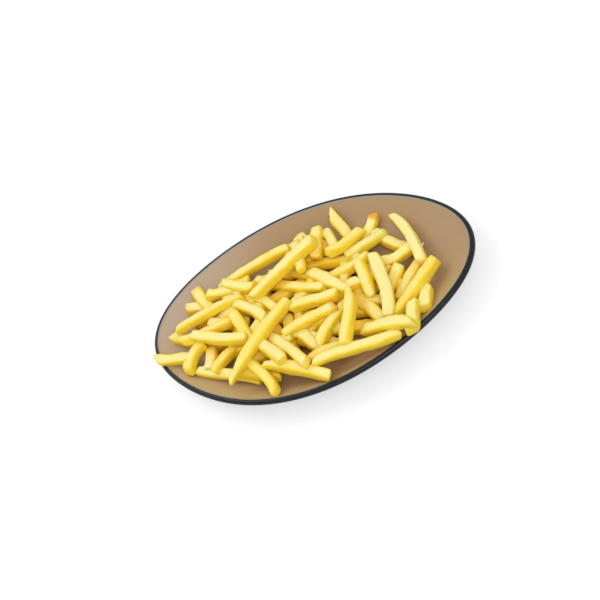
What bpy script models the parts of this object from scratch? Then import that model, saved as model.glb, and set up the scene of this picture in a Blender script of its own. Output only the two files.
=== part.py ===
"""A portion of french fries heaped on an oval coupe plate.

Two solids: the glazed plate, and the heap of fries as one solid out to its uneven outline.
The plate is a turned profile drawn out to a pebble-shaped plan. Each fry is laid on what is
already there: it comes down flat, touches at two places either side of its middle and stays.

Frame: +Z up, origin on the table under the middle of the plate, the long axis along X.
The layout is worked out in millimetres and the meshes are built in metres.
"""

import math
import random

import bmesh
import bpy
import numpy as np
from mathutils import Euler, Matrix, Vector

MM = 0.001

# Plate plan (mm): an oval with slight corners, rounder at one end
PLATE_LENGTH = 276.0
PLATE_WIDTH = 180.0
THREE_CORNERS = (0.013, math.radians(92))
FOUR_CORNERS = (0.017, math.radians(-23))
PLAN_SHIFT_Y = 1.2

# Plate section (mm), measured on a round plate of PROFILE_RADIUS
PROFILE_RADIUS = 110.0
FLOOR_TOP = 6.0
FLOOR_RADIUS = 56.0
LIP_RADIUS = 2.4
LIP_HEIGHT = 24.0
LIP_INSIDE_TURN = math.radians(140)
LIP_OUTSIDE_TURN = math.radians(-45)
INSIDE_STEEPNESS = 2.1
OUTSIDE_STEEPNESS = 1.6
FOOT_OUTER = 60.0
FOOT_INNER = 54.0
FOOT_RECESS = 1.6
LIP_BAND = 26.0
PLATE_STEPS = 64
INSIDE_STEPS = 7
LIP_STEPS = 5

# How the fries lie (mm)
FRY_WIDTH = 9.3
LAYER_RISE = 5.3
FRY_SINK = 0.8
STEEPEST = 0.26
END_INSET = 2.0
STATIONS_A_SIDE = 8
SUPPORT_LINES = (-3.0, 0.0, 3.0)
MOUND_CENTRE = (-8.0, -4.0)
MOUND_HALF = (88.0, 50.0)
MOUND_RISE = 3.0
FILLER_COUNT = 36
FILLER_RISE = 2.4
FILLER_SPREAD = (80.0, 44.0)
GOLDEN_TURN = math.radians(137.5)
SEED = 11
CORE_DIP = 1.5

# Fries by layer from the plate up: x, y, heading, length (mm and degrees), and any odd look
LOW_FRIES = (
    (-98, 27, 175, 30), (-94, 15, 185, 26, "browned"), (-92, 28, 125, 34), (-110, -4, 150, 28),
    (-68, -50, 157, 60), (-70, -35, 60, 32), (-42, -58, 160, 42), (-34, -66, 305, 42, "golden"),
    (-5, -70, 155, 60, "pointed"), (-70, 33, 8, 40), (6, 57, 133, 36), (-13, 48, 88, 30),
    (-4, 45, 80, 30), (34, 60, 112, 42, "pointed"), (26, 46, 110, 28), (15, 45, 85, 32),
    (56, 50, 55, 28, "browned"), (97, -36, 85, 26), (88, -55, 80, 26), (70, -45, 140, 28),
    (44, -68, 5, 66), (72, -10, 60, 28), (54, -32, 130, 34), (-70, 0, 170, 36), (0, 35, 100, 34),
    (60, 0, 120, 34), (-30, 0, 130, 38),
)
MIDDLE_FRIES = (
    (-115, -24, 172, 36), (-97, -28, 60, 28), (-84, -32, 95, 24, "pale"), (-84, -8, 18, 48),
    (-48, 50, 12, 72), (-58, 30, 155, 34), (-54, -14, 118, 36), (74, 32, 135, 44),
    (40, 38, 35, 36), (38, 14, 5, 40), (80, 13, 10, 30), (86, -12, 57, 40), (70, -58, 163, 44),
    (18, -60, 195, 40, "pointed"), (-24, -50, 130, 40), (6, -46, 130, 28), (-13, -48, 130, 66),
    (36, -8, 20, 26), (-13, 16, 150, 78),
)
TOP_FRIES = (
    (-72, -20, 165, 50), (-44, -2, 135, 34), (25, 2, 315, 50, "pointed"),
    (91, 23, 108, 62, "pale"), (90, -28, 45, 58), (24, -34, 48, 42), (6, -28, 12, 48),
    (54, 33, 22, 38), (53, -4, 100, 34), (41, -41, 84, 52, "pointed"), (-84, 10, 16, 62),
    (-12, 25, 28, 68), (10, -11, 172, 44), (67, -17, 97, 64, "pale"),
    (-35, -35, 234, 80, "pointed"),
)

CORE_STEPS = 32
CLEARANCE = 0.35

PLATE_COLOUR = (0.40, 0.30, 0.20, 1.0)
HEAP_COLOUR = (0.85, 0.70, 0.28, 1.0)


def clear_scene():
    """Start from an empty scene."""
    for item in list(bpy.data.objects):
        bpy.data.objects.remove(item, do_unlink=True)


def new_collection(name):
    """A collection linked to the scene."""
    collection = bpy.data.collections.new(name)
    bpy.context.scene.collection.children.link(collection)
    return collection


def material(name, colour, roughness):
    """A plain Principled material."""
    made = bpy.data.materials.new(name)
    made.use_nodes = True
    shader = made.node_tree.nodes["Principled BSDF"]
    shader.inputs["Base Color"].default_value = colour
    shader.inputs["Roughness"].default_value = roughness
    shader.inputs["Metallic"].default_value = 0.0
    return made


def object_from_mesh(name, mesh, collection, as_cutter=False):
    """A named object in its collection; cutters are hidden guides."""
    made = bpy.data.objects.new(name, mesh)
    collection.objects.link(made)
    if as_cutter:
        made.hide_render = True
        made.display_type = "WIRE"
    return made


def baked(source, name, collection, as_cutter=False):
    """The evaluated shape of an object as a plain mesh object, in place of the source."""
    graph = bpy.context.evaluated_depsgraph_get()
    mesh = bpy.data.meshes.new_from_object(source.evaluated_get(graph))
    bpy.data.objects.remove(source, do_unlink=True)
    mesh.name = name
    return object_from_mesh(name, mesh, collection, as_cutter)


# ---------------------------------------------------------------- plate

def plan_swell(angle):
    """How far the plan stands out from a plain ellipse at this angle."""
    three, three_turn = THREE_CORNERS
    four, four_turn = FOUR_CORNERS
    return 1.0 + three * math.cos(3 * angle - three_turn) + four * math.cos(4 * angle - four_turn)


def plan_point(angle):
    """A point of the plate's outline about the plan's own middle (mm)."""
    swell = plan_swell(angle)
    return Vector((PLATE_LENGTH / 2 * swell * math.cos(angle),
                   PLATE_WIDTH / 2 * swell * math.sin(angle)))


def plan_normal(angle):
    """The outward direction of the outline."""
    step = 0.01
    along = (plan_point(angle + step) - plan_point(angle - step)).normalized()
    return Vector((along.y, -along.x))


def drawn_out(point):
    """Move a point of the round profile plate to the oval plan (mm).

    The rim keeps its width all round; farther in, the plan is scaled towards the middle.
    """
    radius = math.hypot(point.x, point.y)
    angle = math.atan2(point.y, point.x)
    inset = PROFILE_RADIUS - radius
    edge = plan_point(angle)
    rim = edge - plan_normal(angle) * inset
    scaled = edge * (radius / PROFILE_RADIUS)
    share = min(max(inset / LIP_BAND, 0.0), 1.0)
    share = share * share * (3 - 2 * share)
    place = rim.lerp(scaled, share)
    return Vector((place.x, place.y + PLAN_SHIFT_Y, point.z))


def lip_point(turn):
    """A point of the round lip; turn runs from its inside over the top to its outside."""
    return (PROFILE_RADIUS - LIP_RADIUS + LIP_RADIUS * math.cos(turn),
            LIP_HEIGHT - LIP_RADIUS + LIP_RADIUS * math.sin(turn))


def inside_height(radius):
    """Height of the upper surface from the floor up to the lip (mm)."""
    join_radius, join_height = lip_point(LIP_INSIDE_TURN)
    share = max(radius - FLOOR_RADIUS, 0.0) / (join_radius - FLOOR_RADIUS)
    return FLOOR_TOP + (join_height - FLOOR_TOP) * share ** INSIDE_STEEPNESS


def outside_height(radius):
    """Height of the under surface from the foot up to the lip (mm)."""
    join_radius, join_height = lip_point(LIP_OUTSIDE_TURN)
    start = FOOT_OUTER - 2.0
    share = max(radius - start, 0.0) / (join_radius - start)
    return 0.6 + (join_height - 0.6) * share ** OUTSIDE_STEEPNESS


def plate_profile():
    """The half section from the floor's middle over the lip to the middle below (mm)."""
    join_in = lip_point(LIP_INSIDE_TURN)[0]
    join_out = lip_point(LIP_OUTSIDE_TURN)[0]
    points = [(0.0, FLOOR_TOP), (FLOOR_RADIUS / 2, FLOOR_TOP)]
    for step in range(INSIDE_STEPS):
        radius = FLOOR_RADIUS + (join_in - FLOOR_RADIUS) * step / INSIDE_STEPS
        points.append((radius, inside_height(radius)))
    for step in range(LIP_STEPS + 1):
        turn = LIP_INSIDE_TURN + (LIP_OUTSIDE_TURN - LIP_INSIDE_TURN) * step / LIP_STEPS
        points.append(lip_point(turn))
    outside_steps = INSIDE_STEPS - 1
    for step in range(1, outside_steps):
        radius = join_out + (FOOT_OUTER + 3.0 - join_out) * step / outside_steps
        points.append((radius, outside_height(radius)))
    points += [(FOOT_OUTER, 0.0), (FOOT_INNER, 0.0)]
    points += [(FOOT_INNER - 3.0, FOOT_RECESS), (0.0, FOOT_RECESS)]
    return points


def build_plate(name, collection, as_cutter=False):
    """Turn the section about Z, then draw the round plate out to its plan."""
    mesh = bpy.data.meshes.new(name + "_section")
    section = [(x * MM, 0.0, z * MM) for x, z in plate_profile()]
    mesh.from_pydata(section, [(i, i + 1) for i in range(len(section) - 1)], [])
    turned = object_from_mesh(name + "_section", mesh, collection)
    screw = turned.modifiers.new("Turn", "SCREW")
    screw.steps = PLATE_STEPS
    screw.render_steps = PLATE_STEPS
    screw.use_merge_vertices = True
    screw.merge_threshold = 0.00005
    plate = baked(turned, name, collection, as_cutter)
    for vertex in plate.data.vertices:
        vertex.co = drawn_out(vertex.co / MM) * MM
    plate.data.shade_smooth()
    return plate


def plate_height(x, y):
    """Height of the plate's upper surface (mm), by the same section and plan."""
    y = y - PLAN_SHIFT_Y
    angle = math.atan2(y / PLATE_WIDTH, x / PLATE_LENGTH)
    outline = math.hypot(x / (PLATE_LENGTH / 2), y / (PLATE_WIDTH / 2)) / plan_swell(angle)
    radius = outline * PROFILE_RADIUS
    if radius > PROFILE_RADIUS:
        return 0.0
    if radius > lip_point(LIP_INSIDE_TURN)[0]:
        return LIP_HEIGHT
    return inside_height(radius)


# ---------------------------------------------------------------- heap

def mound_height(x, y):
    """Height of the packed fries under the loose ones (mm)."""
    reach = math.hypot((x - MOUND_CENTRE[0]) / MOUND_HALF[0], (y - MOUND_CENTRE[1]) / MOUND_HALF[1])
    return FLOOR_TOP + MOUND_RISE * max(1.0 - reach * reach, 0.0) ** 0.7


class Ground:
    """The height of everything laid so far, on a grid with 1 mm cells."""

    REACH_X = 160
    REACH_Y = 110

    def __init__(self):
        self.xs = np.arange(-self.REACH_X, self.REACH_X + 1)
        self.ys = np.arange(-self.REACH_Y, self.REACH_Y + 1)
        self.height = np.array([[max(plate_height(x, y), mound_height(x, y)) for x in self.xs]
                                for y in self.ys])

    def at(self, x, y):
        """Height under a point."""
        return self.height[int(round(y)) + self.REACH_Y, int(round(x)) + self.REACH_X]

    def lay(self, x, y, heading, length, layer_rise):
        """Lay a fry down: return the height of its underside at its middle, and its slope.

        It rests on the two highest places either side of its middle.
        """
        along = np.array((math.cos(heading), math.sin(heading)))
        across = np.array((-along[1], along[0]))
        half = length / 2 - END_INSET
        stations = np.linspace(-half, half, 2 * STATIONS_A_SIDE + 1)
        under = []
        for station in stations:
            spots = [(x, y) + along * station + across * side for side in SUPPORT_LINES]
            under.append(max(self.at(*spot) for spot in spots))
        best, slope = under[STATIONS_A_SIDE], 0.0
        for i in range(STATIONS_A_SIDE):
            for j in range(STATIONS_A_SIDE + 1, len(stations)):
                rise = (under[j] - under[i]) / (stations[j] - stations[i])
                middle = under[i] - rise * stations[i]
                if middle > best:
                    best, slope = middle, rise
        slope = min(max(slope, -STEEPEST), STEEPEST)
        base = best - FRY_SINK
        grid_x, grid_y = np.meshgrid(self.xs - x, self.ys - y)
        run = grid_x * along[0] + grid_y * along[1]
        side = grid_x * across[0] + grid_y * across[1]
        covered = (abs(run) < length / 2) & (abs(side) < FRY_WIDTH / 2)
        top = base + slope * run + layer_rise
        self.height = np.where(covered, np.maximum(self.height, top), self.height)
        return base, slope


def fillers(rng):
    """Fries spread evenly over the mound and turned every way: x, y, heading, length."""
    for index in range(FILLER_COUNT):
        turn = index * GOLDEN_TURN
        reach = math.sqrt((index + 0.5) / FILLER_COUNT)
        x = MOUND_CENTRE[0] + FILLER_SPREAD[0] * reach * math.cos(turn)
        y = MOUND_CENTRE[1] + FILLER_SPREAD[1] * reach * math.sin(turn)
        yield x, y, rng.uniform(0, 180), rng.uniform(36, 54)


def fry_layout():
    """Every fry: middle (mm), heading, pitch, roll (radians), length, width (mm) and look."""
    rng = random.Random(SEED)
    ground = Ground()
    layers = [(FILLER_RISE, list(fillers(rng)))]
    layers += [(LAYER_RISE, layer) for layer in (LOW_FRIES, MIDDLE_FRIES, TOP_FRIES)]
    placed = []
    for layer_rise, layer in layers:
        for x, y, degrees, length, *look in layer:
            heading = math.radians(degrees)
            base, slope = ground.lay(x, y, heading, length, layer_rise)
            width = FRY_WIDTH * rng.uniform(0.90, 1.08)
            middle = Vector((x, y, base + FRY_WIDTH / 2))
            roll = math.radians(rng.uniform(-14, 14))
            placed.append((middle, heading, math.atan(slope), roll, length, width, "".join(look)))
    return placed


def build_fry(name, collection, middle, heading, pitch, roll, length, width, look):
    """One fry as a plain stick, a little narrower at one end."""
    bpy.ops.mesh.primitive_cube_add(size=1.0)
    fry = bpy.context.active_object
    fry.name = name
    for owner in list(fry.users_collection):
        owner.objects.unlink(fry)
    collection.objects.link(fry)
    fry.hide_render = True
    fry.display_type = "WIRE"
    turn = Euler((roll, -pitch, heading)).to_matrix().to_4x4()
    size = Matrix.Diagonal((length * MM, width * MM, width * MM, 1.0))
    for vertex in fry.data.vertices:
        narrow = 1.0
        if vertex.co.x > 0:
            narrow = 0.5 if look == "pointed" else 0.86
        vertex.co.y *= narrow
        vertex.co.z *= narrow
    fry.data.transform(Matrix.Translation(middle * MM) @ turn @ size)
    return fry


def build_core(collection):
    """The mound under the loose fries, down into the plate, which is cut away later."""
    bpy.ops.mesh.primitive_uv_sphere_add(segments=CORE_STEPS, ring_count=12, radius=1.0)
    core = bpy.context.active_object
    core.name = "fries_heap_core"
    for owner in list(core.users_collection):
        owner.objects.unlink(core)
    collection.objects.link(core)
    for vertex in core.data.vertices:
        x = MOUND_CENTRE[0] + MOUND_HALF[0] * vertex.co.x
        y = MOUND_CENTRE[1] + MOUND_HALF[1] * vertex.co.y
        bed = plate_height(x, y) - CORE_DIP
        top = max(mound_height(x, y), bed + CORE_DIP / 2)
        vertex.co = Vector((x, y, top if vertex.co.z > 0 else bed)) * MM
    return core


def add_boolean(target, operation, operand=None, operands=None):
    """A Boolean modifier with one object or a collection."""
    modifier = target.modifiers.new(operation.title(), "BOOLEAN")
    modifier.operation = operation
    modifier.solver = "EXACT"
    if operands is not None:
        modifier.operand_type = "COLLECTION"
        modifier.collection = operands
    else:
        modifier.object = operand
    return modifier


def keep_largest_shell(mesh):
    """Drop closed pockets inside the heap and any crumbs cut loose from it."""
    shape = bmesh.new()
    shape.from_mesh(mesh)
    unseen = set(shape.verts)
    shells = []
    while unseen:
        start = unseen.pop()
        shell = {start}
        edge_of_shell = [start]
        while edge_of_shell:
            vertex = edge_of_shell.pop()
            for edge in vertex.link_edges:
                other = edge.other_vert(vertex)
                if other in unseen:
                    unseen.discard(other)
                    shell.add(other)
                    edge_of_shell.append(other)
        shells.append(shell)
    shells.sort(key=len)
    spare = [vertex for shell in shells[:-1] for vertex in shell]
    bmesh.ops.delete(shape, geom=spare, context="VERTS")
    shape.to_mesh(mesh)
    shape.free()


def build_heap(parts, cutters):
    """The fries and their core joined into one solid that stops just above the plate."""
    sticks = new_collection("fries")
    for index, fry in enumerate(fry_layout()):
        build_fry(f"fry_{index:03d}", sticks, *fry)
    core = build_core(parts)
    bed = build_plate("plate_clearance", cutters, as_cutter=True)
    bed_shape = bmesh.new()
    bed_shape.from_mesh(bed.data)
    bed_shape.normal_update()
    for vertex in bed_shape.verts:
        vertex.co += vertex.normal * CLEARANCE * MM
    bed_shape.to_mesh(bed.data)
    bed_shape.free()
    add_boolean(core, "UNION", operands=sticks)
    joined = baked(core, "fries_heap_joined", parts)
    add_boolean(joined, "DIFFERENCE", operand=bed)
    heap = baked(joined, "fries_heap", parts)
    keep_largest_shell(heap.data)
    heap.data.materials.clear()
    heap.data.materials.append(material("fried_potato", HEAP_COLOUR, 0.6))
    return heap


def main():
    """Build the plate and the heap."""
    clear_scene()
    parts = new_collection("french_fries_portion")
    cutters = new_collection("cutters")
    plate = build_plate("plate", parts)
    plate.data.materials.append(material("glazed_stoneware", PLATE_COLOUR, 0.35))
    build_heap(parts, cutters)


main()
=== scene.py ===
"""Looks of a portion of french fries heaped on an oval coupe plate.

Laid out as an add-on: one operator makes the plate, one the fries, one the unseen core, one the
shard and one the stage. The plate and the fries stand in for the two solids of the frame.
"""

import math
import random

import bmesh
import bpy
import numpy as np
from bpy.props import FloatProperty, FloatVectorProperty, IntProperty, PointerProperty
from mathutils import Euler, Matrix, Vector, noise


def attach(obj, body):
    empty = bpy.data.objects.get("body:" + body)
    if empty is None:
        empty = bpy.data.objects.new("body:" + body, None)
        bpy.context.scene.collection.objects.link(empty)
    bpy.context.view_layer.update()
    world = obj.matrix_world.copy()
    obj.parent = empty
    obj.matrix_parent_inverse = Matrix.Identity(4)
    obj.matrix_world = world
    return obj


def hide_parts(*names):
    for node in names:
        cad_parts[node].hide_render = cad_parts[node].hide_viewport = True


bl_info = {
    "name": "French fries portion",
    "version": (1, 0, 0),
    "blender": (4, 5, 0),
    "location": "View3D > Sidebar > Fries",
    "description": "Builds a heap of french fries on an oval coupe plate",
    "category": "Object",
}

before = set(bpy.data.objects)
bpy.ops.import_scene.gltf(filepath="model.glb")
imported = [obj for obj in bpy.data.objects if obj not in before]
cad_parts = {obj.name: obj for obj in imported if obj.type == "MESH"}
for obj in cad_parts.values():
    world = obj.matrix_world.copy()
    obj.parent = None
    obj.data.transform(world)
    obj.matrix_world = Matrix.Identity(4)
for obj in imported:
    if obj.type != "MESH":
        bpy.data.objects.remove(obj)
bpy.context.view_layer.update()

MM = 0.001

# Plate plan and section, in millimetres, as in the frame
PLATE_LENGTH = 276.0
PLATE_WIDTH = 180.0
THREE_CORNERS = (0.013, math.radians(92))
FOUR_CORNERS = (0.017, math.radians(-23))
PLAN_SHIFT_Y = 1.2
PROFILE_RADIUS = 110.0
FLOOR_TOP = 6.0
FLOOR_RADIUS = 56.0
LIP_RADIUS = 2.4
LIP_HEIGHT = 24.0
LIP_INSIDE_TURN = math.radians(140)
LIP_OUTSIDE_TURN = math.radians(-45)
INSIDE_STEEPNESS = 2.1
OUTSIDE_STEEPNESS = 1.6
FOOT_OUTER = 60.0
FOOT_INNER = 54.0
FOOT_RECESS = 1.6
FOOT_EASE = 2.0
UNDERSIDE_LOW = 0.6
LIP_BAND = 26.0

# Where the glazes meet: a turn round the lip, and distances from that line (mm)
GLAZE_BREAK_TURN = math.radians(118)
LIP_LOWEST_TURN = -1.2
INSIDE_GLAZE_START = 0.9
OUTSIDE_GLAZE = 6.0
SURFACE_MARGIN = 0.05

# A fry (mm): its width, how far each one lifts the next, and how far it settles
FRY_WIDTH = 9.3
LAYER_RISE = 5.3
FRY_SINK = 0.8
EDGE_ROUND = 2.1

# Where a fry feels for support (mm), and the steepest it may lie
STEEPEST = 0.26
END_INSET = 2.0
STATIONS_A_SIDE = 8
SUPPORT_LINES = (-3.0, 0.0, 3.0)

# The mound of packed fries (mm), and the short fries spread over it
MOUND_CENTRE = (-8.0, -4.0)
MOUND_HALF = (88.0, 50.0)
MOUND_RISE = 3.0
FILLER_COUNT = 36
FILLER_RISE = 2.4
FILLER_SPREAD = (80.0, 44.0)
GOLDEN_TURN = math.radians(137.5)
SEED = 11
CORE_DIP = 1.5

# Fries by layer from the plate up: x, y, heading, length (mm and degrees), and any odd look
LOW_FRIES = (
    (-98, 27, 175, 30), (-94, 15, 185, 26, "browned"), (-92, 28, 125, 34), (-110, -4, 150, 28),
    (-68, -50, 157, 60), (-70, -35, 60, 32), (-42, -58, 160, 42), (-34, -66, 305, 42, "golden"),
    (-5, -70, 155, 60, "pointed"), (-70, 33, 8, 40), (6, 57, 133, 36), (-13, 48, 88, 30),
    (-4, 45, 80, 30), (34, 60, 112, 42, "pointed"), (26, 46, 110, 28), (15, 45, 85, 32),
    (56, 50, 55, 28, "browned"), (97, -36, 85, 26), (88, -55, 80, 26), (70, -45, 140, 28),
    (44, -68, 5, 66), (72, -10, 60, 28), (54, -32, 130, 34), (-70, 0, 170, 36), (0, 35, 100, 34),
    (60, 0, 120, 34), (-30, 0, 130, 38),
)
MIDDLE_FRIES = (
    (-115, -24, 172, 36), (-97, -28, 60, 28), (-84, -32, 95, 24, "pale"), (-84, -8, 18, 48),
    (-48, 50, 12, 72), (-58, 30, 155, 34), (-54, -14, 118, 36), (74, 32, 135, 44),
    (40, 38, 35, 36), (38, 14, 5, 40), (80, 13, 10, 30), (86, -12, 57, 40), (70, -58, 163, 44),
    (18, -60, 195, 40, "pointed"), (-24, -50, 130, 40), (6, -46, 130, 28), (-13, -48, 130, 66),
    (36, -8, 20, 26), (-13, 16, 150, 78),
)
TOP_FRIES = (
    (-72, -20, 165, 50), (-44, -2, 135, 34), (25, 2, 315, 50, "pointed"),
    (91, 23, 108, 62, "pale"), (90, -28, 45, 58), (24, -34, 48, 42), (6, -28, 12, 48),
    (54, 33, 22, 38), (53, -4, 100, 34), (41, -41, 84, 52, "pointed"), (-84, 10, 16, 62),
    (-12, 25, 28, 68), (10, -11, 172, 44), (67, -17, 97, 64, "pale"),
    (-35, -35, 234, 80, "pointed"),
)

# Shard that stands off the flank of one fry (mm): its own size, and where on the fry it grows
SHARD_SIZE = (8.0, 2.6, 2.0)
SHARD_TAPER = 0.75
SHARD_LEAN = math.radians(-62)
SHARD_ALONG = -0.27
SHARD_FRY_LENGTH = 62

# How pale a fry is and how browned its end is, by its look
TONES = {"pale": 1.3, "golden": 0.0}
END_BROWNING = {"pale": 0.0, "golden": 0.35, "browned": 1.1}
BROWNED_REACH = 9.0

# Cells in which the top of the heap is looked up: side (mm), rows and columns
DEPTH_CELL = 4.0
DEPTH_GRID = (60, 84)


# ---------------------------------------------------------------- settings

class FriesPlateSettings(bpy.types.PropertyGroup):
    """Sizes and glazes of the plate."""
    turn_steps: IntProperty(name="Turn steps", description="Sections round the plate",
                            default=200, min=32)
    inside_steps: IntProperty(name="Inside steps", description="Rings from floor to lip",
                              default=30, min=6)
    inside_colour: FloatVectorProperty(name="Inside glaze", description="Taupe satin glaze",
                                       subtype="COLOR", size=4, default=(0.420, 0.275, 0.145, 1.0))
    # Inside cool tone: greyer cloud patches of the glaze, and also a painted sheen that greys the
    # left (-X) part of the inside
    inside_cool_and_sheen: FloatVectorProperty(name="Inside cool tone",
                                     description="Greyer patches of the taupe glaze",
                                     subtype="COLOR", size=4, default=(0.500, 0.390, 0.285, 1.0))
    # Inside pooled tone: a warm tan band inside the lip on the near (-Y) side, partly glaze pooled
    # by the lip and partly painted bounce light from the fries
    inside_pooled_and_bounce: FloatVectorProperty(name="Inside pooled tone",
                                       description="Warm tan where the glaze pooled by the lip",
                                       subtype="COLOR", size=4, default=(0.560, 0.400, 0.190, 1.0))
    speckle_colour: FloatVectorProperty(name="Speckle", description="Fine specks in the taupe",
                                        subtype="COLOR", size=4, default=(0.20, 0.14, 0.09, 1.0))
    outside_colour: FloatVectorProperty(name="Outside glaze", description="Near-black glaze",
                                        subtype="COLOR", size=4,
                                        default=(0.007, 0.009, 0.012, 1.0))
    # Glaze break: a thin pale grey line all round just inside the dark lip, partly where the two
    # glazes meet and partly a painted highlight on the rounded inner lip
    break_and_highlight_colour: FloatVectorProperty(name="Glaze break",
                                      description="Grey line where the two glazes meet",
                                      subtype="COLOR", size=4, default=(0.33, 0.31, 0.27, 1.0))


class FriesHeapSettings(bpy.types.PropertyGroup):
    """Colours and unevenness of the fries."""
    # Pale: the paler tone of some fries, and also a painted top light that pales the upward faces
    # of every fry
    pale_tone_and_top_light_colour: FloatVectorProperty(name="Pale", description="Dry, upper faces of a fry",
                                     subtype="COLOR", size=4, default=(0.930, 0.810, 0.310, 1.0))
    # Golden: the fry's own colour; the sides keep it because the painted top light pales only the
    # upward faces
    golden_colour: FloatVectorProperty(name="Golden", description="Oily faces of a fry",
                                       subtype="COLOR", size=4, default=(0.920, 0.680, 0.036, 1.0))
    # Deep: a painted shade, a deeper orange on faces that lie low in the heap under other fries
    deep_shade_colour: FloatVectorProperty(name="Deep", description="Faces low in the heap",
                                     subtype="COLOR", size=4, default=(0.900, 0.580, 0.014, 1.0))
    brown_colour: FloatVectorProperty(name="Browned", description="Ends that caught in the fryer",
                                      subtype="COLOR", size=4, default=(0.790, 0.370, 0.012, 1.0))
    core_dark: FloatVectorProperty(name="Core dark", description="Shaded fries in the core",
                                   subtype="COLOR", size=4, default=(0.24, 0.095, 0.010, 1.0))
    core_light: FloatVectorProperty(name="Core light", description="Lighter streaks in the core",
                                    subtype="COLOR", size=4, default=(0.50, 0.26, 0.030, 1.0))
    wobble: FloatProperty(name="Wobble", description="How far a fry's faces wander",
                          default=0.55 * MM, unit="LENGTH")


class FriesStageSettings(bpy.types.PropertyGroup):
    """Floor, lamps and camera."""
    floor_size: FloatProperty(name="Floor size", description="Side of the square floor",
                              default=6.0, unit="LENGTH")
    key_power: FloatProperty(name="Key power", description="Power of the large soft lamp",
                             default=5.0, unit="POWER")
    front_power: FloatProperty(name="Front power", description="Power of the lamp by the camera",
                               default=6.4, unit="POWER")
    world_strength: FloatProperty(name="Sky", description="Strength of the even white light",
                                  default=0.72)


# ---------------------------------------------------------------- small helpers

def deselect_all():
    """Leave nothing selected, in object mode."""
    if bpy.context.object and bpy.context.object.mode != "OBJECT":
        bpy.ops.object.mode_set(mode="OBJECT")
    bpy.ops.object.select_all(action="DESELECT")


def make_active(item):
    """Select one object alone."""
    deselect_all()
    item.select_set(True)
    bpy.context.view_layer.objects.active = item


def select_edges(item, wanted):
    """In edit mode, select the edges for which wanted(edge) is true."""
    bpy.ops.mesh.select_all(action="DESELECT")
    bpy.ops.mesh.select_mode(type="EDGE")
    shape = bmesh.from_edit_mesh(item.data)
    for edge in shape.edges:
        edge.select = wanted(edge)
    shape.select_flush_mode()
    bmesh.update_edit_mesh(item.data)


def apply_modifier(item, kind, **settings):
    """Add a modifier, set it and apply it."""
    make_active(item)
    modifier = item.modifiers.new(kind.title(), kind)
    for name, value in settings.items():
        setattr(modifier, name, value)
    bpy.ops.object.modifier_apply(modifier=modifier.name)


def store(mesh, name, values):
    """Keep one number for each vertex as a named attribute."""
    attribute = mesh.attributes.get(name) or mesh.attributes.new(name, "FLOAT", "POINT")
    attribute.data.foreach_set("value", np.asarray(values, dtype=np.float32))


def points_of(mesh):
    """All vertex places as an array."""
    flat = np.empty(len(mesh.vertices) * 3, dtype=np.float32)
    mesh.vertices.foreach_get("co", flat)
    return flat.reshape(-1, 3).astype(float)


def set_points(mesh, points):
    """Write all vertex places back."""
    mesh.vertices.foreach_set("co", np.asarray(points, dtype=np.float32).ravel())
    mesh.update()


def smooth_step(values, low, high):
    """0 below low, 1 above high, and a soft rise between."""
    share = np.clip((np.asarray(values, dtype=float) - low) / (high - low), 0.0, 1.0)
    return share * share * (3 - 2 * share)


# ---------------------------------------------------------------- shader maths

class Value:
    """A socket that can be written into an expression."""

    def __init__(self, shader, socket):
        self.shader = shader
        self.socket = socket

    def _math(self, operation, first, second):
        return self.shader.node("ShaderNodeMath", {"operation": operation},
                                {0: first, 1: second})

    def __add__(self, other):
        return self._math("ADD", self, other)

    def __radd__(self, other):
        return self._math("ADD", other, self)

    def __sub__(self, other):
        return self._math("SUBTRACT", self, other)

    def __rsub__(self, other):
        return self._math("SUBTRACT", other, self)

    def __mul__(self, other):
        return self._math("MULTIPLY", self, other)

    def between(self, low, high):
        """0 at low, 1 at high, held outside."""
        return self.shader.node("ShaderNodeMapRange", {"interpolation_type": "SMOOTHSTEP"},
                                {"Value": self, "From Min": low, "From Max": high})


class Shader:
    """A material under construction round one Principled shader."""

    def __init__(self, name):
        self.material = bpy.data.materials.new(name)
        self.material.use_nodes = True
        self.tree = self.material.node_tree
        self.surface = self.tree.nodes["Principled BSDF"]
        self.place = self.node("ShaderNodeTexCoord", output="Object")

    def node(self, kind, settings=None, inputs=None, output=0):
        """Add a node, set it, feed its sockets and return one output."""
        made = self.tree.nodes.new(kind)
        for name, value in (settings or {}).items():
            setattr(made, name, value)
        for name, value in (inputs or {}).items():
            self.feed(made.inputs[name], value)
        return Value(self, made.outputs[output])

    def feed(self, socket, value):
        """Link an expression to a socket, or set the socket to a plain value."""
        if isinstance(value, Value):
            self.tree.links.new(value.socket, socket)
        else:
            socket.default_value = value

    def set(self, **inputs):
        """Feed the Principled shader, with underscores for spaces in the names."""
        for name, value in inputs.items():
            self.feed(self.surface.inputs[name.replace("_", " ")], value)

    def mix(self, factor, first, second, blend="MIX"):
        """Mix two colours."""
        settings = {"data_type": "RGBA", "blend_type": blend}
        return self.node("ShaderNodeMix", settings, {0: factor, 6: first, 7: second}, output=2)

    def noise(self, scale, detail=3.0, roughness=0.55, distortion=0.0):
        """Cloudy noise on the object's own coordinates."""
        return self.node("ShaderNodeTexNoise", None,
                         {"Vector": self.place, "Scale": scale, "Detail": detail,
                          "Roughness": roughness, "Distortion": distortion})

    def plan_axes(self):
        """The object's own X and Y, in metres."""
        split = self.node("ShaderNodeSeparateXYZ", None, {"Vector": self.place}).socket.node
        return Value(self, split.outputs["X"]), Value(self, split.outputs["Y"])

    def attribute(self, name):
        """A number stored on the piece."""
        return self.node("ShaderNodeAttribute", {"attribute_name": name}, output="Fac")

    def bump(self, height, strength, distance):
        """Small relief for the Normal socket."""
        return self.node("ShaderNodeBump", None,
                         {"Height": height, "Strength": strength, "Distance": distance})


# ---------------------------------------------------------------- plate

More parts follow.
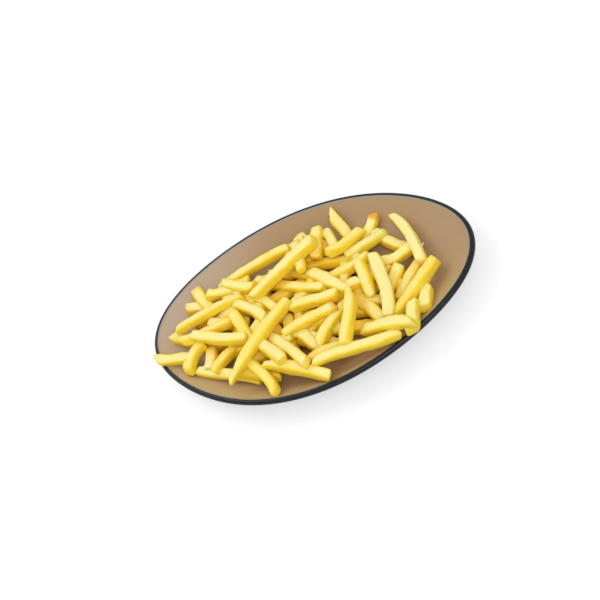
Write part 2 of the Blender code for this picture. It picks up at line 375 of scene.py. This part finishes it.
def plan_swell(angle):
    """How far the plan stands out from a plain ellipse at this angle."""
    three, three_turn = THREE_CORNERS
    four, four_turn = FOUR_CORNERS
    return 1.0 + three * math.cos(3 * angle - three_turn) + four * math.cos(4 * angle - four_turn)


def plan_point(angle):
    """A point of the plate's outline about the plan's own middle (mm)."""
    swell = plan_swell(angle)
    return Vector((PLATE_LENGTH / 2 * swell * math.cos(angle),
                   PLATE_WIDTH / 2 * swell * math.sin(angle)))


def plan_normal(angle):
    """The outward direction of the outline."""
    step = 0.01
    along = (plan_point(angle + step) - plan_point(angle - step)).normalized()
    return Vector((along.y, -along.x))


def drawn_out(point):
    """Move a point of the round profile plate to the oval plan (mm)."""
    radius = math.hypot(point.x, point.y)
    angle = math.atan2(point.y, point.x)
    inset = PROFILE_RADIUS - radius
    edge = plan_point(angle)
    rim = edge - plan_normal(angle) * inset
    scaled = edge * (radius / PROFILE_RADIUS)
    share = min(max(inset / LIP_BAND, 0.0), 1.0)
    share = share * share * (3 - 2 * share)
    place = rim.lerp(scaled, share)
    return Vector((place.x, place.y + PLAN_SHIFT_Y, point.z))


def lip_point(turn):
    """A point of the round lip; turn runs from its inside over the top to its outside."""
    return (PROFILE_RADIUS - LIP_RADIUS + LIP_RADIUS * math.cos(turn),
            LIP_HEIGHT - LIP_RADIUS + LIP_RADIUS * math.sin(turn))


def inside_height(radius):
    """Height of the upper surface from the floor up to the lip (mm)."""
    join_radius, join_height = lip_point(LIP_INSIDE_TURN)
    share = max(radius - FLOOR_RADIUS, 0.0) / (join_radius - FLOOR_RADIUS)
    return FLOOR_TOP + (join_height - FLOOR_TOP) * share ** INSIDE_STEEPNESS


def outside_height(radius):
    """Height of the under surface from the foot up to the lip (mm)."""
    join_radius, join_height = lip_point(LIP_OUTSIDE_TURN)
    start = FOOT_OUTER - FOOT_EASE
    share = max(radius - start, 0.0) / (join_radius - start)
    return UNDERSIDE_LOW + (join_height - UNDERSIDE_LOW) * share ** OUTSIDE_STEEPNESS


def plate_profile(inside_steps, lip_steps):
    """The half section from the floor's middle over the lip to the middle below (mm)."""
    join_in = lip_point(LIP_INSIDE_TURN)[0]
    join_out = lip_point(LIP_OUTSIDE_TURN)[0]
    points = [(0.0, FLOOR_TOP), (FLOOR_RADIUS / 2, FLOOR_TOP)]
    for step in range(inside_steps):
        radius = FLOOR_RADIUS + (join_in - FLOOR_RADIUS) * step / inside_steps
        points.append((radius, inside_height(radius)))
    for step in range(lip_steps + 1):
        turn = LIP_INSIDE_TURN + (LIP_OUTSIDE_TURN - LIP_INSIDE_TURN) * step / lip_steps
        points.append(lip_point(turn))
    outside_steps = inside_steps * 2 // 3
    for step in range(1, outside_steps):
        radius = join_out + (FOOT_OUTER + 3.0 - join_out) * step / outside_steps
        points.append((radius, outside_height(radius)))
    points += [(FOOT_OUTER + 0.8, 0.5), (FOOT_OUTER, 0.0), (FOOT_INNER, 0.0)]
    points += [(FOOT_INNER - 1.0, 0.5), (FOOT_INNER - 3.0, FOOT_RECESS), (0.0, FOOT_RECESS)]
    return points


def plate_height(x, y):
    """Height of the plate's upper surface (mm), by the same section and plan."""
    y = y - PLAN_SHIFT_Y
    angle = math.atan2(y / PLATE_WIDTH, x / PLATE_LENGTH)
    outline = math.hypot(x / (PLATE_LENGTH / 2), y / (PLATE_WIDTH / 2)) / plan_swell(angle)
    radius = outline * PROFILE_RADIUS
    if radius > PROFILE_RADIUS:
        return 0.0
    if radius > lip_point(LIP_INSIDE_TURN)[0]:
        return LIP_HEIGHT
    return inside_height(radius)


def glaze_material(settings):
    """Satin taupe inside with greyer patches and a painted sheen on its left, a warm tan band by
    the near lip from pooled glaze and painted bounce light, a grey line where the glazes meet that
    is also a painted highlight on the inner lip, and near-black over the lip and outside.
    """
    glaze = Shader("two_tone_glaze")
    rim = glaze.attribute("rim")
    clouds = glaze.noise(11.0, detail=2.0)
    fine = glaze.noise(160.0, detail=4.0, roughness=0.65)
    edge = rim + (glaze.noise(60.0, detail=2.0) - 0.5) * 0.5
    along, across = glaze.plan_axes()
    # Painted sheen: the inside turns greyer towards the left (-X) end, mixed with random greyer
    # cloud patches of the glaze
    cool_and_sheen_share = (0.0 - along).between(-0.02, 0.13) * 0.85 + (clouds - 0.5) * 0.6
    inside = glaze.mix(cool_and_sheen_share.between(0.1, 1.0), settings.inside_colour, settings.inside_cool_and_sheen)
    # Painted bounce light: within about 4 to 22 mm of the lip on the near (-Y) side the inside
    # turns warm tan, for light thrown back from the fries together with glaze pooled there
    pooled_and_bounce_share = edge.between(-22.0, -4.0) * (0.0 - across).between(-0.02, 0.06)
    pooled = glaze.mix(pooled_and_bounce_share * 0.85, inside, settings.inside_pooled_and_bounce)
    speckled = glaze.mix(fine.between(0.46, 0.80) * 0.10, pooled, settings.speckle_colour)
    # Painted highlight: a thin grey line just inside the dark glaze all round the lip, also
    # standing for where the two glazes meet
    with_break_and_highlight = glaze.mix(edge.between(-1.5, -0.5), speckled, settings.break_and_highlight_colour)
    colour = glaze.mix(edge.between(-0.25, 0.25), with_break_and_highlight, settings.outside_colour)
    glaze.set(Base_Color=colour,
              Roughness=0.44 + fine * 0.10 - edge.between(-0.3, 0.3) * 0.16,
              Specular_IOR_Level=0.3,
              Normal=glaze.bump(glaze.noise(28.0, detail=2.0) + fine * 0.08, 0.10, 0.0012))
    return glaze.material


class FRIES_OT_plate(bpy.types.Operator):
    """Turn the plate's section, draw it out to the oval plan and glaze it"""
    bl_idname = "fries.plate"
    bl_label = "Plate"

    def execute(self, context):
        settings = context.scene.fries_plate
        deselect_all()
        profile = plate_profile(settings.inside_steps, lip_steps=14)
        mesh = bpy.data.meshes.new("oval_plate")
        mesh.from_pydata([(r * MM, 0.0, z * MM) for r, z in profile],
                         [(i, i + 1) for i in range(len(profile) - 1)], [])
        plate = bpy.data.objects.new("oval_plate", mesh)
        context.scene.collection.objects.link(plate)
        make_active(plate)
        bpy.ops.object.mode_set(mode="EDIT")
        bpy.ops.mesh.select_all(action="SELECT")
        bpy.ops.mesh.spin(steps=settings.turn_steps, angle=math.tau, center=(0, 0, 0),
                          axis=(0, 0, 1))
        bpy.ops.mesh.select_all(action="SELECT")
        bpy.ops.mesh.remove_doubles(threshold=0.00002)
        bpy.ops.mesh.normals_make_consistent(inside=False)
        bpy.ops.object.mode_set(mode="OBJECT")
        points = points_of(plate.data) / MM
        radii = np.hypot(points[:, 0], points[:, 1])
        turn = np.arctan2(points[:, 2] - (LIP_HEIGHT - LIP_RADIUS),
                          radii - (PROFILE_RADIUS - LIP_RADIUS))
        over_lip = radii > lip_point(LIP_INSIDE_TURN)[0]
        upper = points[:, 2] >= np.array([inside_height(r) for r in radii]) - SURFACE_MARGIN
        arc = (GLAZE_BREAK_TURN - turn) * LIP_RADIUS
        inset = radii - lip_point(LIP_INSIDE_TURN)[0]
        off_lip = np.where(upper, inset - INSIDE_GLAZE_START, OUTSIDE_GLAZE)
        rim = np.where(over_lip & (turn > LIP_LOWEST_TURN), arc, off_lip)
        set_points(plate.data, np.array([drawn_out(Vector(point)) for point in points]) * MM)
        store(plate.data, "rim", rim)
        plate.data.shade_smooth()
        plate.data.materials.append(glaze_material(settings))
        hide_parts("plate")
        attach(plate, "root")
        return {"FINISHED"}


# ---------------------------------------------------------------- fries

def mound_height(x, y):
    """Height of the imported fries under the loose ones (mm)."""
    reach = math.hypot((x - MOUND_CENTRE[0]) / MOUND_HALF[0], (y - MOUND_CENTRE[1]) / MOUND_HALF[1])
    return FLOOR_TOP + MOUND_RISE * max(1.0 - reach * reach, 0.0) ** 0.7


class Ground:
    """The height of everything laid so far, on a grid with 1 mm cells."""

    REACH_X = 160
    REACH_Y = 110

    def __init__(self):
        self.xs = np.arange(-self.REACH_X, self.REACH_X + 1)
        self.ys = np.arange(-self.REACH_Y, self.REACH_Y + 1)
        self.height = np.array([[max(plate_height(x, y), mound_height(x, y)) for x in self.xs]
                                for y in self.ys])

    def at(self, x, y):
        """Height under a point."""
        return self.height[int(round(y)) + self.REACH_Y, int(round(x)) + self.REACH_X]

    def lay(self, x, y, heading, length, layer_rise):
        """Lay a fry down: return the height of its underside at its middle, and its slope.

        It rests on the two highest places either side of its middle.
        """
        along = np.array((math.cos(heading), math.sin(heading)))
        across = np.array((-along[1], along[0]))
        half = length / 2 - END_INSET
        stations = np.linspace(-half, half, 2 * STATIONS_A_SIDE + 1)
        under = []
        for station in stations:
            spots = [(x, y) + along * station + across * side for side in SUPPORT_LINES]
            under.append(max(self.at(*spot) for spot in spots))
        best, slope = under[STATIONS_A_SIDE], 0.0
        for i in range(STATIONS_A_SIDE):
            for j in range(STATIONS_A_SIDE + 1, len(stations)):
                rise = (under[j] - under[i]) / (stations[j] - stations[i])
                middle = under[i] - rise * stations[i]
                if middle > best:
                    best, slope = middle, rise
        slope = min(max(slope, -STEEPEST), STEEPEST)
        base = best - FRY_SINK
        grid_x, grid_y = np.meshgrid(self.xs - x, self.ys - y)
        run = grid_x * along[0] + grid_y * along[1]
        side = grid_x * across[0] + grid_y * across[1]
        covered = (abs(run) < length / 2) & (abs(side) < FRY_WIDTH / 2)
        top = base + slope * run + layer_rise
        self.height = np.where(covered, np.maximum(self.height, top), self.height)
        return base, slope


def fillers(rng):
    """Fries spread evenly over the mound and turned every way: x, y, heading, length."""
    for index in range(FILLER_COUNT):
        turn = index * GOLDEN_TURN
        reach = math.sqrt((index + 0.5) / FILLER_COUNT)
        x = MOUND_CENTRE[0] + FILLER_SPREAD[0] * reach * math.cos(turn)
        y = MOUND_CENTRE[1] + FILLER_SPREAD[1] * reach * math.sin(turn)
        yield x, y, rng.uniform(0, 180), rng.uniform(36, 54)


def fry_layout():
    """Every fry: middle (mm), heading, pitch, roll (radians), length, width (mm) and look."""
    rng = random.Random(SEED)
    ground = Ground()
    layers = [(FILLER_RISE, list(fillers(rng)))]
    layers += [(LAYER_RISE, layer) for layer in (LOW_FRIES, MIDDLE_FRIES, TOP_FRIES)]
    placed = []
    for layer_rise, layer in layers:
        for x, y, degrees, length, *look in layer:
            heading = math.radians(degrees)
            base, slope = ground.lay(x, y, heading, length, layer_rise)
            width = FRY_WIDTH * rng.uniform(0.90, 1.08)
            middle = Vector((x, y, base + FRY_WIDTH / 2))
            roll = math.radians(rng.uniform(-14, 14))
            placed.append((middle, heading, math.atan(slope), roll, length, width, "".join(look)))
    return placed


def model_stick(cuts=9):
    """One plain fry of unit length and width, with rings to bend at."""
    deselect_all()
    bpy.ops.mesh.primitive_cube_add(size=1.0)
    stick = bpy.context.object
    stick.name = "stick"
    bpy.ops.object.mode_set(mode="EDIT")
    select_edges(stick, lambda edge: abs(edge.verts[0].co.x - edge.verts[1].co.x) > 0.5)
    bpy.ops.mesh.subdivide(number_cuts=cuts)
    bpy.ops.object.mode_set(mode="OBJECT")
    return stick


def round_stick(stick, length, width, height):
    """Bring a stick to its size and round its edges, as by a cut through potato."""
    points = points_of(stick.data) * (length * MM, width * MM, height * MM)
    set_points(stick.data, points)
    apply_modifier(stick, "BEVEL", width=EDGE_ROUND * MM, segments=2, limit_method="ANGLE",
                   angle_limit=math.radians(50), profile=0.5)
    apply_modifier(stick, "SUBSURF", levels=1, render_levels=1)


def end_shape(rng, pointed):
    """How one end of a fry is cut: slant across, slant in height, narrowing and its reach."""
    if pointed:
        return rng.uniform(-1.0, 1.0), rng.uniform(-0.5, 0.5), rng.uniform(0.36, 0.50), 0.8
    return rng.uniform(-0.6, 0.6), rng.uniform(-0.4, 0.4), rng.uniform(0.02, 0.12), 0.25


def shaped(points, length, look, rng):
    """Narrow, slant, twist and bow a straight fry (metres)."""
    share = points[:, 0] / (length * MM / 2)
    swell = 1.02 - rng.uniform(0.0, 0.10) * (share * rng.choice((-1, 1)) + 1) / 2
    swell += 0.04 * np.sin(share * rng.uniform(2.0, 4.5) + rng.uniform(0, 6))
    for side in (-1, 1):
        pointed = side > 0 and look == "pointed"
        across, upward, narrowing, reach = end_shape(rng, pointed)
        swell -= narrowing * smooth_step(share * side, 1.0 - reach, 1.06)
        at_end = smooth_step(share * side, 0.55, 1.0)
        points[:, 0] += at_end * (across * points[:, 1] + upward * points[:, 2])
    points[:, 1] *= swell
    points[:, 2] *= swell
    twist = math.radians(rng.uniform(-12, 12)) * share
    y = points[:, 1] * np.cos(twist) - points[:, 2] * np.sin(twist)
    z = points[:, 1] * np.sin(twist) + points[:, 2] * np.cos(twist)
    bow = rng.gauss(0.0, 0.022) * length * MM
    sag = rng.uniform(-0.004, 0.014) * length * MM
    wave = rng.uniform(-0.7, 0.7) * MM
    points[:, 1] = y + bow * (1.0 - 2.0 * share ** 2) + wave * np.sin(share * math.pi)
    points[:, 2] = z - sag * (share ** 2 - 0.3)
    return points


def roughened(points, wobble, seed_place):
    """Let the faces wander a little, as cut potato does."""
    moved = points.copy()
    for index, point in enumerate(points):
        place = Vector(point) / MM + seed_place
        moved[index] += np.array(noise.noise_vector(place * 0.14)) * wobble
        moved[index] += np.array(noise.noise_vector(place * 0.45)) * wobble * 0.35
    return moved


class FRIES_OT_heap(bpy.types.Operator):
    """Model one fry, copy it along the heap's layout and join the copies"""
    bl_idname = "fries.heap"
    bl_label = "Heap of fries"

    def execute(self, context):
        settings = context.scene.fries_heap
        rng = random.Random(SEED + 1)
        pattern = model_stick()
        copies = []
        for index, (middle, heading, pitch, roll, length, width, look) in enumerate(fry_layout()):
            fry = bpy.data.objects.new("fry", pattern.data.copy())
            context.scene.collection.objects.link(fry)
            round_stick(fry, length, width, width * rng.uniform(0.90, 1.06))
            points = points_of(fry.data)
            share = abs(points[:, 0]) / (length * MM / 2)
            corner = np.minimum(abs(points[:, 1]), abs(points[:, 2])) / (width * MM / 2)
            end_side = np.sign(points[:, 0])
            points = shaped(points, length, look, rng)
            seed_place = Vector((index * 37.0, index * 11.0, 5.0))
            points = roughened(points, settings.wobble, seed_place)
            turn = np.array(Euler((roll, -pitch, heading)).to_matrix())
            points = points @ turn.T + np.array(middle) * MM
            set_points(fry.data, points)
            fry.data.shade_smooth()
            count = len(points)
            store(fry.data, "corner", corner)
            tone = TONES.get(look, rng.random())
            store(fry.data, "tone", np.full(count, tone))
            end_browning = END_BROWNING.get(look, rng.random() ** 4 * 0.8)
            browned = end_browning * np.where(end_side > 0, 1.0, 0.3)
            reach = (1 - share) * length / 2
            store(fry.data, "browned", browned * (1 - smooth_step(reach, 0.5, BROWNED_REACH)))
            copies.append(fry)
        bpy.data.objects.remove(pattern, do_unlink=True)
        deselect_all()
        for fry in copies:
            fry.select_set(True)
        context.view_layer.objects.active = copies[0]
        bpy.ops.object.join()
        fries = context.object
        fries.name = "fries"
        fries.data.name = "fries"
        self.mark_depth(fries.data)
        fries.data.materials.append(fry_material(settings))
        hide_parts("fries_heap")
        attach(fries, "root")
        return {"FINISHED"}

    @staticmethod
    def mark_depth(mesh):
        """Store how far each point lies below the top of the heap around it, in mm, for the painted
        shade low in the heap, and how far each point faces up, for the painted top light.
        """
        points = points_of(mesh) / MM
        columns = ((points[:, 0] + Ground.REACH_X) / DEPTH_CELL).astype(int)
        rows = ((points[:, 1] + Ground.REACH_Y) / DEPTH_CELL).astype(int)
        top = np.zeros(DEPTH_GRID)
        np.maximum.at(top, (rows, columns), points[:, 2])
        around = top.copy()
        for down in (-1, 0, 1):
            for right in (-1, 0, 1):
                around = np.maximum(around, np.roll(top, (down, right), axis=(0, 1)))
        store(mesh, "depth", around[rows, columns] - points[:, 2])
        normals = np.empty(len(mesh.vertices) * 3, dtype=np.float32)
        mesh.vertex_normals.foreach_get("vector", normals)
        store(mesh, "facing_up", normals.reshape(-1, 3)[:, 2])


def fry_material(settings):
    """Painted top light paling the upward faces, the fry's own golden on the sides, browner at some
    ends, and a painted shade, deeper orange, low in the heap.
    """
    potato = Shader("fried_potato")
    tone = potato.attribute("tone")
    depth = potato.attribute("depth")
    browned = potato.attribute("browned")
    facing = potato.attribute("facing_up")
    corner = potato.attribute("corner")
    patches = potato.noise(70.0, detail=3.0)
    grain = potato.noise(520.0, detail=4.0, roughness=0.6)
    # Painted top light: upward faces get the pale colour; random patches and each fry's tone add
    # real variation, and the long edges stay golden
    pale_tone_and_top_light_share = facing.between(0.1, 1.0) * 0.75 + (patches - 0.5) * 0.8 + (tone - 0.5) * 0.45
    pale_tone_and_top_light_share = pale_tone_and_top_light_share - corner.between(0.35, 0.9) * 0.45
    base = potato.mix(pale_tone_and_top_light_share.between(0.1, 0.9), settings.golden_colour, settings.pale_tone_and_top_light_colour)
    spotted = potato.mix(grain.between(0.55, 0.85) * 0.25, base, settings.golden_colour)
    # Painted shade: faces lying about 4 to 17 mm below the local top of the heap turn deeper orange
    low = potato.mix(depth.between(4.0, 17.0) * 0.9, spotted, settings.deep_shade_colour)
    toasted = potato.mix((browned + (patches - 0.5) * 0.4 * browned).between(0.15, 0.9), low,
                         settings.brown_colour)
    potato.set(Base_Color=toasted,
               Roughness=0.42 + grain * 0.25,
               Subsurface_Weight=0.30,
               Subsurface_Radius=(0.004, 0.0022, 0.0006),
               Subsurface_Scale=1.0,
               Coat_Weight=0.08,
               Coat_Roughness=0.3,
               Normal=potato.bump(grain + patches * 1.5, 0.35, 0.0005))
    return potato.material


# ---------------------------------------------------------------- core and shard

class FRIES_OT_core(bpy.types.Operator):
    """Fill the unseen middle of the heap with a low mound coloured dark golden brown, a painted
    shade of the fries in shadow there
    """
    bl_idname = "fries.core"
    bl_label = "Core"

    def execute(self, context):
        deselect_all()
        bpy.ops.mesh.primitive_uv_sphere_add(segments=72, ring_count=36, radius=1.0)
        core = context.object
        core.name = "heap_core"
        core.data.name = "heap_core"
        points = points_of(core.data) * (*MOUND_HALF, 1.0) + (*MOUND_CENTRE, 0.0)
        for point in points:
            bed = plate_height(point[0], point[1]) - CORE_DIP
            bumps = noise.noise(Vector(point) * 0.12)
            top = max(mound_height(point[0], point[1]) - CORE_DIP + bumps, bed + 0.5)
            point[2] = top if point[2] > 0 else bed
        set_points(core.data, points * MM)
        core.data.shade_smooth()
        core.data.materials.append(self.core_material(context.scene.fries_heap))
        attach(core, "root")
        return {"FINISHED"}

    @staticmethod
    def core_material(settings):
        """Deep golden brown, as oily fries look in shade."""
        core = Shader("heap_core")
        streaks = core.noise(90.0, detail=3.0)
        colour = core.mix(streaks.between(0.35, 0.7), settings.core_dark, settings.core_light)
        core.set(Base_Color=colour, Roughness=0.55 + streaks * 0.2,
                 Normal=core.bump(streaks, 0.4, 0.001))
        return core.material


class FRIES_OT_shard(bpy.types.Operator):
    """Raise one thin shard on the flank of a pale fry, where its skin has split"""
    bl_idname = "fries.shard"
    bl_label = "Shard"

    def execute(self, context):
        middle, heading, pitch, roll, length, width, _ = next(
            fry for fry in fry_layout() if fry[-1] == "pale" and fry[4] == SHARD_FRY_LENGTH)
        deselect_all()
        bpy.ops.mesh.primitive_cube_add(size=1.0)
        shard = context.object
        shard.name = "shard"
        shard.data.name = "shard"
        points = points_of(shard.data)
        points[:, 1:] *= (1.0 - SHARD_TAPER * (points[:, 0] + 0.5))[:, None]
        set_points(shard.data, points * np.array(SHARD_SIZE) * MM)
        apply_modifier(shard, "SUBSURF", levels=3, render_levels=3)
        points = roughened(points_of(shard.data), 0.4 * MM, Vector((3.0, 1.0, 0.0)))
        lean = np.array(Euler((0.0, 0.0, SHARD_LEAN)).to_matrix())
        flank = np.array((SHARD_ALONG * length, -width / 2, 0.0)) * MM
        turn = np.array(Euler((roll, -pitch, heading)).to_matrix())
        set_points(shard.data, (points @ lean.T + flank) @ turn.T + np.array(middle) * MM)
        shard.data.shade_smooth()
        for name, value in (("tone", 0.9), ("depth", 0.0), ("browned", 0.0), ("corner", 0.3),
                            ("facing_up", 0.8)):
            store(shard.data, name, np.full(len(shard.data.vertices), value))
        shard.data.materials.append(bpy.data.materials["fried_potato"])
        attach(shard, "root")
        return {"FINISHED"}


# ---------------------------------------------------------------- stage

VIEW_TARGET = Vector((9.7, -6.0, 21.6)) * MM
VIEW_DISTANCE = 0.65
VIEW_ELEVATION = math.radians(46)
VIEW_TURN = math.radians(29)
VIEW_ROLL = math.radians(40)
VIEW_LENS = 50.3
VIEW_SHIFT = (-0.025, -0.0033)
FLOOR_GREY = (0.5, 0.5, 0.5, 1.0)
FLOOR_GLOW = 0.56
WHITE = (1.0, 1.0, 1.0, 1.0)


def view_axes():
    """Directions across the view, away from it along the floor, before the camera's roll."""
    across = Vector((math.cos(VIEW_TURN), math.sin(VIEW_TURN), 0.0))
    away = Vector((-math.sin(VIEW_TURN), math.cos(VIEW_TURN), 0.0))
    return across, away


def aim(item, place, target):
    """Point an object's -Z at a target."""
    item.location = place
    item.rotation_euler = (target - place).to_track_quat("-Z", "Y").to_euler()


class FRIES_OT_stage(bpy.types.Operator):
    """Set the pale floor, the soft lamps, the even white light and the camera"""
    bl_idname = "fries.stage"
    bl_label = "Stage"

    def execute(self, context):
        settings = context.scene.fries_stage
        self.floor(settings.floor_size)
        self.lamps(context, settings)
        self.world(context, settings.world_strength)
        self.camera(context)
        context.scene.view_settings.view_transform = "Standard"
        return {"FINISHED"}

    @staticmethod
    def floor(size):
        """A white floor that keeps the plate's shadow."""
        deselect_all()
        bpy.ops.mesh.primitive_plane_add(size=size, location=(0, 0, -0.0002))
        floor = bpy.context.object
        floor.name = "floor"
        paper = Shader("white_floor")
        rays = paper.node("ShaderNodeLightPath").socket.node
        seen = Value(paper, rays.outputs["Is Camera Ray"])
        seen = seen + Value(paper, rays.outputs["Is Glossy Ray"])
        seen = seen + Value(paper, rays.outputs["Is Transmission Ray"])
        paper.set(Base_Color=FLOOR_GREY, Roughness=0.9,
                  Specular_IOR_Level=0.0,
                  Emission_Color=WHITE,
                  Emission_Strength=seen * FLOOR_GLOW)
        floor.data.materials.append(paper.material)

    @staticmethod
    def lamps(context, settings):
        """A large soft lamp beyond the plate, and another near the camera."""
        across, away = view_axes()
        rig = (("key", away * 0.8 - across * 0.45 + Vector((0, 0, 1.25)), 1.0, settings.key_power),
               ("front", across * 0.1 - away * 0.95 + Vector((0, 0, 1.1)), 1.0,
                settings.front_power))
        for name, place, size, power in rig:
            data = bpy.data.lights.new(name, "AREA")
            data.shape = "DISK"
            data.size = size
            data.energy = power
            lamp = bpy.data.objects.new(name, data)
            context.scene.collection.objects.link(lamp)
            aim(lamp, place, VIEW_TARGET)

    @staticmethod
    def world(context, strength):
        """Even white light, and plain white wherever the camera or a reflection looks."""
        world = bpy.data.worlds.new("white")
        context.scene.world = world
        world.use_nodes = True
        tree = world.node_tree
        background = tree.nodes["Background"]
        background.inputs["Color"].default_value = WHITE
        rays = tree.nodes.new("ShaderNodeLightPath")
        pick = tree.nodes.new("ShaderNodeMapRange")
        pick.inputs["To Min"].default_value = strength
        pick.inputs["To Max"].default_value = 1.0
        tree.links.new(rays.outputs["Is Camera Ray"], pick.inputs["Value"])
        tree.links.new(pick.outputs["Result"], background.inputs["Strength"])

    @staticmethod
    def camera(context):
        """Look down at the plate with the view rolled to one side."""
        across, away = view_axes()
        data = bpy.data.cameras.new("camera")
        data.lens = VIEW_LENS
        data.sensor_width = 36.0
        data.shift_x, data.shift_y = VIEW_SHIFT
        data.dof.use_dof = False
        camera = bpy.data.objects.new("camera", data)
        context.scene.collection.objects.link(camera)
        back = Vector((0, 0, math.sin(VIEW_ELEVATION))) - away * math.cos(VIEW_ELEVATION)
        up = back.cross(across)
        right = across * math.cos(VIEW_ROLL) - up * math.sin(VIEW_ROLL)
        top = across * math.sin(VIEW_ROLL) + up * math.cos(VIEW_ROLL)
        turn = Matrix((right, top, back)).transposed()
        camera.matrix_world = Matrix.Translation(VIEW_TARGET + back * VIEW_DISTANCE) @ turn.to_4x4()
        context.scene.camera = camera


# ---------------------------------------------------------------- panel and registration

class FRIES_PT_panel(bpy.types.Panel):
    """Lists the steps in the order they are run"""
    bl_idname = "FRIES_PT_panel"
    bl_label = "French fries portion"
    bl_space_type = "VIEW_3D"
    bl_region_type = "UI"
    bl_category = "Fries"

    def draw(self, context):
        for operator in OPERATORS:
            self.layout.operator(operator.bl_idname)
        for group in ("fries_plate", "fries_heap", "fries_stage"):
            settings = getattr(context.scene, group)
            box = self.layout.box()
            for name in settings.__annotations__:
                box.prop(settings, name)


SETTINGS = {
    "fries_plate": FriesPlateSettings,
    "fries_heap": FriesHeapSettings,
    "fries_stage": FriesStageSettings,
}
OPERATORS = (FRIES_OT_plate, FRIES_OT_heap, FRIES_OT_core, FRIES_OT_shard, FRIES_OT_stage)


def register():
    """Register the settings, the operators and the panel."""
    for name, group in SETTINGS.items():
        bpy.utils.register_class(group)
        setattr(bpy.types.Scene, name, PointerProperty(type=group))
    for item in (*OPERATORS, FRIES_PT_panel):
        bpy.utils.register_class(item)


def unregister():
    """Take everything back out."""
    for item in (FRIES_PT_panel, *reversed(OPERATORS)):
        bpy.utils.unregister_class(item)
    for name, group in SETTINGS.items():
        delattr(bpy.types.Scene, name)
        bpy.utils.unregister_class(group)


def main():
    """Run every step in order."""
    register()
    bpy.ops.fries.plate()
    bpy.ops.fries.heap()
    bpy.ops.fries.core()
    bpy.ops.fries.shard()
    bpy.ops.fries.stage()


if __name__ == "__main__":
    main()
